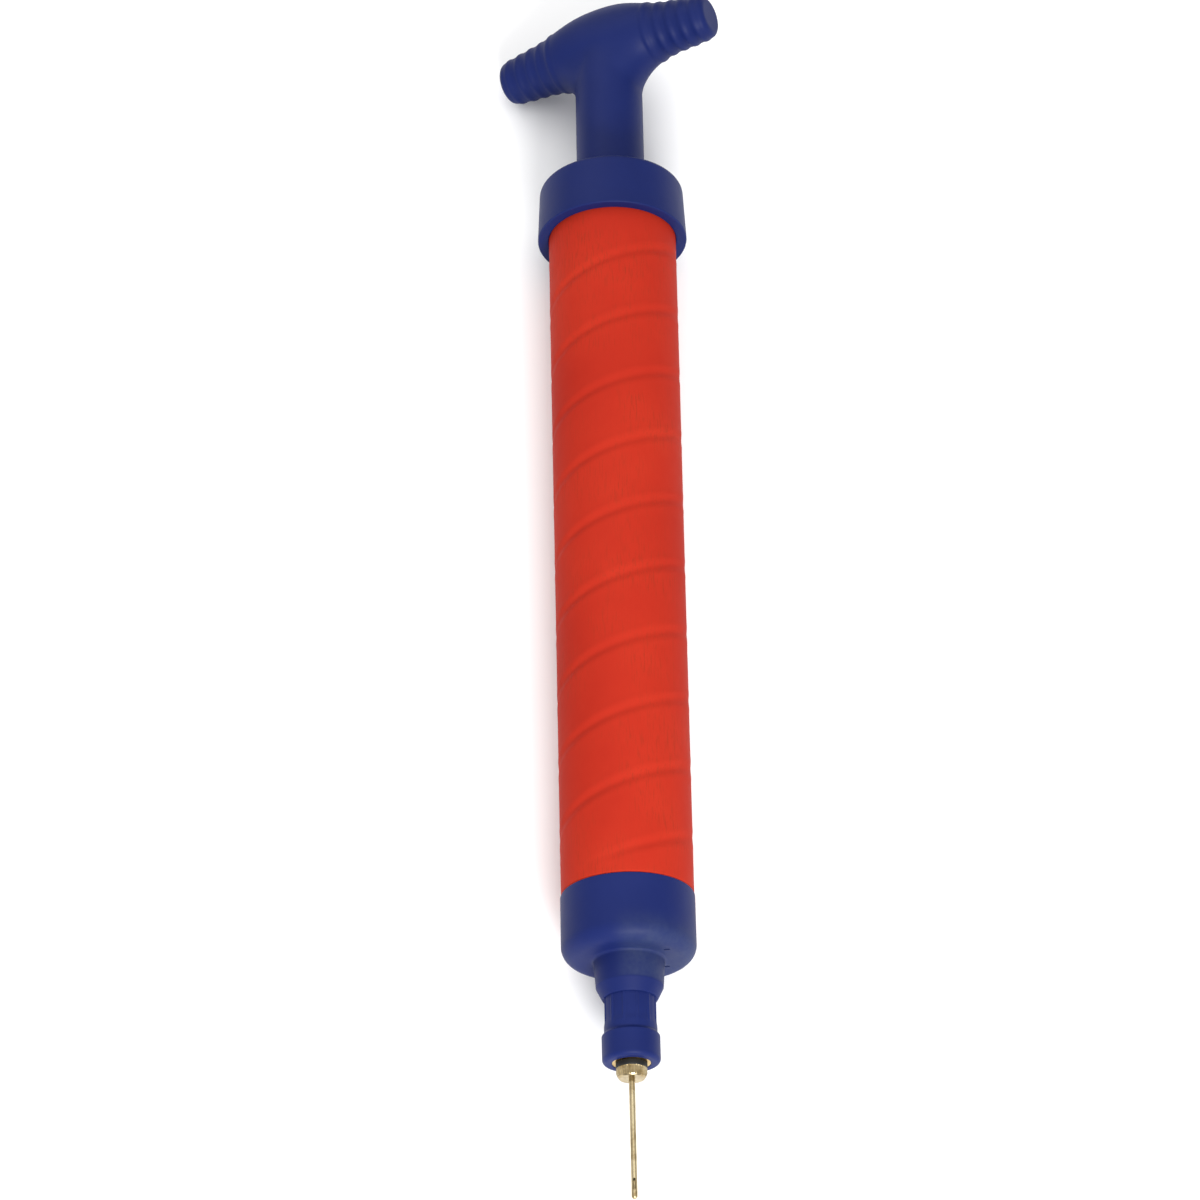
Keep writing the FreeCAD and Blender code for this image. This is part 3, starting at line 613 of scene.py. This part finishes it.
# ---------------------------------------------------------------- handle
BAR_Z, BAR_HALF, BAR_DROOP, NECK_R, NECK_LOW = 342.9, 32.9, 0.7, 9.4, 294.8
SEC_Y = np.array([-32.9, -28.2, -23.0, -18.0, -12.8, -7.5, 0.0, 7.5, 12.8, 18.0, 23.0, 28.2, 32.9])
SEC_H = np.array([5.8, 6.5, 7.05, 7.75, 9.25, 11.1, 12.2, 11.1, 9.25, 7.75, 7.05, 6.5, 5.8])
SEC_W = np.array([5.8, 6.5, 7.05, 7.75, 9.2, 9.9, 10.2, 9.9, 9.2, 7.75, 7.05, 6.5, 5.8])
SEC_UP = np.array([0.0, 0.0, 0.2, 0.35, 0.4, 0.3, 0.0, 0.3, 0.4, 0.35, 0.2, 0.0, 0.0])
RIBS = [15.4 + 3.6 * k for k in range(5)]


def spline_through(xs, ys):
    """Natural cubic spline as a function on arrays."""
    n = len(xs)
    h = np.diff(xs)
    A = np.zeros((n, n))
    b = np.zeros(n)
    A[0, 0] = A[-1, -1] = 1.0
    for i in range(1, n - 1):
        A[i, i - 1], A[i, i], A[i, i + 1] = h[i - 1], 2 * (h[i - 1] + h[i]), h[i]
        b[i] = 6 * ((ys[i + 1] - ys[i]) / h[i] - (ys[i] - ys[i - 1]) / h[i - 1])
    m = np.linalg.solve(A, b)

    def f(x):
        x = np.clip(x, xs[0], xs[-1])
        i = np.clip(np.searchsorted(xs, x) - 1, 0, n - 2)
        t0, t1 = xs[i + 1] - x, x - xs[i]
        return (m[i] * t0 ** 3 + m[i + 1] * t1 ** 3) / (6 * h[i]) + (ys[i] / h[i] - m[i] * h[i] / 6) * t0 + (
            ys[i + 1] / h[i] - m[i + 1] * h[i] / 6) * t1
    return f


sec_h = spline_through(SEC_Y, SEC_H)
sec_w = spline_through(SEC_Y, SEC_W)
sec_up = spline_through(SEC_Y, SEC_UP)


def union_round(a, b, r):
    u = np.maximum(r - a, 0)
    v = np.maximum(r - b, 0)
    return np.maximum(r, np.minimum(a, b)) - np.sqrt(u * u + v * v)


def meet_round(a, b, r):
    u = np.maximum(r + a, 0)
    v = np.maximum(r + b, 0)
    return np.minimum(-r, np.maximum(a, b)) + np.sqrt(u * u + v * v)


def handle_field(x, y, z):
    """Signed distance in millimetres: bar along y, pump's axis along z."""
    h, w = sec_h(y), sec_w(y)
    zc = BAR_Z - BAR_DROOP * (y / BAR_HALF) ** 2 + sec_up(y)
    dz = z - zc
    q = np.sqrt((x / w) ** 2 + (dz / h) ** 2)
    rad = np.sqrt(x * x + dz * dz)
    bar = rad * (1 - 1 / np.maximum(q, 1e-6))
    rib = np.zeros_like(x)
    for k, c in enumerate(RIBS):
        rib = np.maximum(rib, 0.30 * np.exp(-np.abs((np.abs(y) - c) / 0.78) ** 2.6))
    bar = bar - rib
    bar = meet_round(bar, np.abs(y) - BAR_HALF, 1.7)
    rr = np.sqrt(x * x + y * y)
    neck = np.maximum(rr - NECK_R, z - BAR_Z)
    nx, nz = x / (w * w), dz / (h * h)
    along = nx / np.maximum(np.sqrt(nx * nx + nz * nz), 1e-9) * x / np.maximum(rr, 1e-9)
    blend = 0.25 + 6.25 * np.clip(1 - along * along, 0, 1) ** 1.5
    f = union_round(bar, neck, blend)
    f = meet_round(f, NECK_LOW - z, 0.5)
    rod = np.maximum(rr - 4.5, z - 332.0)
    return np.maximum(f, -rod)


def surface_nets(field, lo, hi, step):
    """Closed quad mesh of field = 0."""
    ax = [np.arange(lo[i], hi[i] + step, step) for i in range(3)]
    X, Y, Z = np.meshgrid(*ax, indexing="ij")
    F = field(X, Y, Z)
    inside = F < 0
    n = np.array(F.shape) - 1
    count = np.zeros(n)
    acc = np.zeros((*n, 3))
    base = [np.arange(n[i]) for i in range(3)]
    corners = [(a, b, c) for a in (0, 1) for b in (0, 1) for c in (0, 1)]

    def sub(A, c):
        return A[c[0]:c[0] + n[0], c[1]:c[1] + n[1], c[2]:c[2] + n[2]]

    for c in corners:
        for d in range(3):
            if c[d] == 1:
                continue
            e = list(c)
            e[d] = 1
            f0, f1 = sub(F, c), sub(F, e)
            cross = sub(inside, c) != sub(inside, e)
            t = np.where(cross, f0 / np.where(cross, f0 - f1, 1), 0)
            for k in range(3):
                pos = c[k] + (t if k == d else 0)
                acc[..., k] += np.where(cross, pos, 0)
            count += cross
    active = count > 0
    idx = -np.ones(n, int)
    idx[active] = np.arange(active.sum())
    ii = np.stack(np.nonzero(active), 1)
    off = acc[active] / count[active][:, None]
    verts = (ii + off) * step + np.array(lo)
    quads = []
    for d in range(3):
        o1, o2 = [(1, 2), (2, 0), (0, 1)][d]
        sl0 = [slice(None)] * 3
        sl1 = [slice(None)] * 3
        sl0[d] = slice(0, -1)
        sl1[d] = slice(1, None)
        change = inside[tuple(sl0)] != inside[tuple(sl1)]
        first = inside[tuple(sl0)]
        pts = np.stack(np.nonzero(change), 1)
        ok = (pts[:, o1] > 0) & (pts[:, o2] > 0) & (pts[:, o1] < n[o1]) & (pts[:, o2] < n[o2])
        pts = pts[ok]
        flip = first[tuple(pts.T)]
        p = []
        for s1, s2 in ((-1, -1), (0, -1), (0, 0), (-1, 0)):
            q = pts.copy()
            q[:, o1] += s1
            q[:, o2] += s2
            p.append(idx[tuple(q.T)])
        q4 = np.stack(p, 1)
        q4[~flip] = q4[~flip][:, ::-1]
        quads.append(q4)
    return verts, np.concatenate(quads)


def settle(field, verts, quads, rounds=3, relax=0.5):
    """Pulls the vertices onto the surface and evens them out along it."""
    def pull(v, times):
        for _ in range(times):
            f = field(v[:, 0], v[:, 1], v[:, 2])
            g = np.zeros_like(v)
            for k in range(3):
                e = np.zeros(3)
                e[k] = 0.02
                a, b = v + e, v - e
                g[:, k] = (field(a[:, 0], a[:, 1], a[:, 2]) - field(b[:, 0], b[:, 1], b[:, 2])) / 0.04
            g2 = np.maximum((g * g).sum(1), 0.05)
            stepv = (f / g2)[:, None] * g
            ln = np.linalg.norm(stepv, axis=1)
            stepv *= np.minimum(1.0, 0.25 / np.maximum(ln, 1e-9))[:, None]
            v = v - stepv
        return v

    edges = np.concatenate([quads[:, [0, 1]], quads[:, [1, 2]], quads[:, [2, 3]], quads[:, [3, 0]]])
    v = pull(verts.copy(), 3)
    for _ in range(rounds):
        s = np.zeros_like(v)
        c = np.zeros(len(v))
        np.add.at(s, edges[:, 0], v[edges[:, 1]])
        np.add.at(s, edges[:, 1], v[edges[:, 0]])
        np.add.at(c, edges[:, 0], 1)
        np.add.at(c, edges[:, 1], 1)
        v = v + relax * (s / c[:, None] - v)
        v = pull(v, 2)
    return v


verts, quads = surface_nets(handle_field, (-12.6, -34.1, 293.9), (12.6, 34.1, 356.5), 0.45)
verts = settle(handle_field, verts, quads)
th = math.radians(-HANDLE_TURN)
xl = verts[:, 0] * math.cos(th) - verts[:, 1] * math.sin(th)
yl = verts[:, 0] * math.sin(th) + verts[:, 1] * math.cos(th)
world = np.stack([(verts[:, 2] + SHIFT_X) / 1000, yl / 1000, (AXIS_H - xl) / 1000], 1)
handle = add_mesh("handle_skin", world, [tuple(map(int, q)) for q in quads])
outward(handle)
sharpen(handle, 45)
handle.data.materials.append(BLUE)
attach(handle, "plunger")
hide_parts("handle")

# ---------------------------------------------------------------- rod, bush and inner pieces
prof = densify(round_profile([
    (115.5, 0.0), (115.5, 1.5), (101.5, 1.5), (101.5, 4.5, 0.5), (332.0, 4.5, 0.5),
    (332.0, 0.0)], seg=5), 6.0)
rod = lathe("plunger_rod_skin", prof, seg=96)
sharpen(rod, 40)
rod.data.materials.append(NATURAL)
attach(rod, "plunger")
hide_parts("plunger_rod")

prof = densify(round_profile([
    (287.9, 4.55, 0.2), (287.9, 10.0, 0.3), (290.45, 10.0), (290.45, 6.97), (294.5, 6.97, 0.15),
    (294.5, 4.55, 0.45)], seg=5), 1.5)
bush = lathe("rod_bush_skin", prof, seg=96)
sharpen(bush, 40)
bush.data.materials.append(NATURAL)
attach(bush, "barrel")
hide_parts("rod_bush")

INNER = {"piston_head": NATURAL, "check_seat": NATURAL, "piston_ring": RUBBER, "barrel_gasket": RUBBER,
         "nozzle_oring": RUBBER, "rod_bumper": RUBBER, "check_ball": STEEL, "check_spring": STEEL,
         "piston_screw": STEEL, "piston_washer": STEEL}
for name, mat in INNER.items():
    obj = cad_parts.get(name)
    if obj is None:
        continue
    if not obj.material_slots:
        obj.data.materials.append(mat)
    for s in obj.material_slots:
        s.link = "OBJECT"
        s.material = mat

# ---------------------------------------------------------------- floor
floor = add_mesh("studio_floor", [(-4, -4, 0), (4, -4, 0), (4, 4, 0), (-4, 4, 0)], [(0, 1, 2, 3)], smooth=False)
fm, nt, bsdf, coord = new_material("floor_paper")
fn = node(nt, "ShaderNodeTexNoise", -600, 200, Scale=3.0, Detail=2.0, Roughness=0.5)
nt.links.new(coord.outputs["Object"], fn.inputs["Vector"])
fr = ramp(nt, -350, 200, [(0.3, (0.93, 0.93, 0.93)), (0.7, (0.95, 0.95, 0.95))])
nt.links.new(fn.outputs["Fac"], fr.inputs[0])
nt.links.new(fr.outputs[0], bsdf.inputs["Base Color"])
bsdf.inputs["Roughness"].default_value = 0.9
bsdf.inputs["Specular IOR Level"].default_value = 0.1
floor.data.materials.append(fm)

# ---------------------------------------------------------------- camera
F_PIX, TILT, DIST, A_REF, ROLL, X_AT_600 = 3800.0, 27.0, 0.99655, 127.72, 1.18, 620.7
t = math.radians(TILT)
ref = Vector(((A_REF + 40 + SHIFT_X) / 1000, 0, AXIS_H / 1000))
fwd = Vector((math.sin(t), 0, -math.cos(t)))
up = Vector((math.cos(t), 0, math.sin(t)))
right = fwd.cross(up)
r = math.radians(ROLL)
up2 = math.cos(r) * up + math.sin(r) * right
right2 = math.cos(r) * right - math.sin(r) * up
eye = ref - DIST * fwd - (X_AT_600 - 600.0) / F_PIX * DIST * right2
cam_data = bpy.data.cameras.new("camera")
cam = bpy.data.objects.new("camera", cam_data)
bpy.context.scene.collection.objects.link(cam)
m = Matrix((right2, up2, -fwd)).transposed().to_4x4()
m.translation = eye
cam.matrix_world = m
cam_data.sensor_width = 36.0
cam_data.sensor_fit = "HORIZONTAL"
cam_data.lens = F_PIX / 1200.0 * 36.0
cam_data.clip_start = 0.01
cam_data.clip_end = 20.0
cam_data.dof.use_dof = False
bpy.context.scene.camera = cam

# ---------------------------------------------------------------- light
world_bg = bpy.data.worlds.new("studio")
bpy.context.scene.world = world_bg
world_bg.use_nodes = True
wt = world_bg.node_tree
bg = wt.nodes["Background"]
wc = node(wt, "ShaderNodeTexCoord", -900, 0)
ws = node(wt, "ShaderNodeSeparateXYZ", -700, 0)
wt.links.new(wc.outputs["Generated"], ws.inputs[0])
wr = ramp(wt, -500, 0, [(0.0, (0.34, 0.34, 0.34)), (0.30, (0.42, 0.42, 0.43)), (0.62, (0.95, 0.95, 0.95)),
                        (1.0, (1.0, 1.0, 1.0))])
wt.links.new(ws.outputs["Z"], wr.inputs[0])
wt.links.new(wr.outputs[0], bg.inputs[0])
bg.inputs[1].default_value = 1.05


def area(name, pos, target, size, power, col=(1, 1, 1)):
    d = bpy.data.lights.new(name, "AREA")
    d.shape = "RECTANGLE"
    d.size, d.size_y = size
    d.energy = power
    d.color = col
    o = bpy.data.objects.new(name, d)
    bpy.context.scene.collection.objects.link(o)
    o.location = pos
    o.rotation_euler = (Vector(target) - Vector(pos)).to_track_quat("-Z", "Y").to_euler()
    return o


area("key", (-1.12, -0.20, 0.76), (0, 0, 0), (0.45, 0.35), 18.0)
area("fill", (0.9, 0.5, 0.8), (0.0, 0, 0), (0.8, 0.8), 2.5)
area("top", (0.0, -0.15, 1.3), (0, 0, 0), (0.8, 0.8), 2.0)

bpy.context.scene.view_settings.view_transform = "Standard"
bpy.context.scene.view_settings.look = "None"
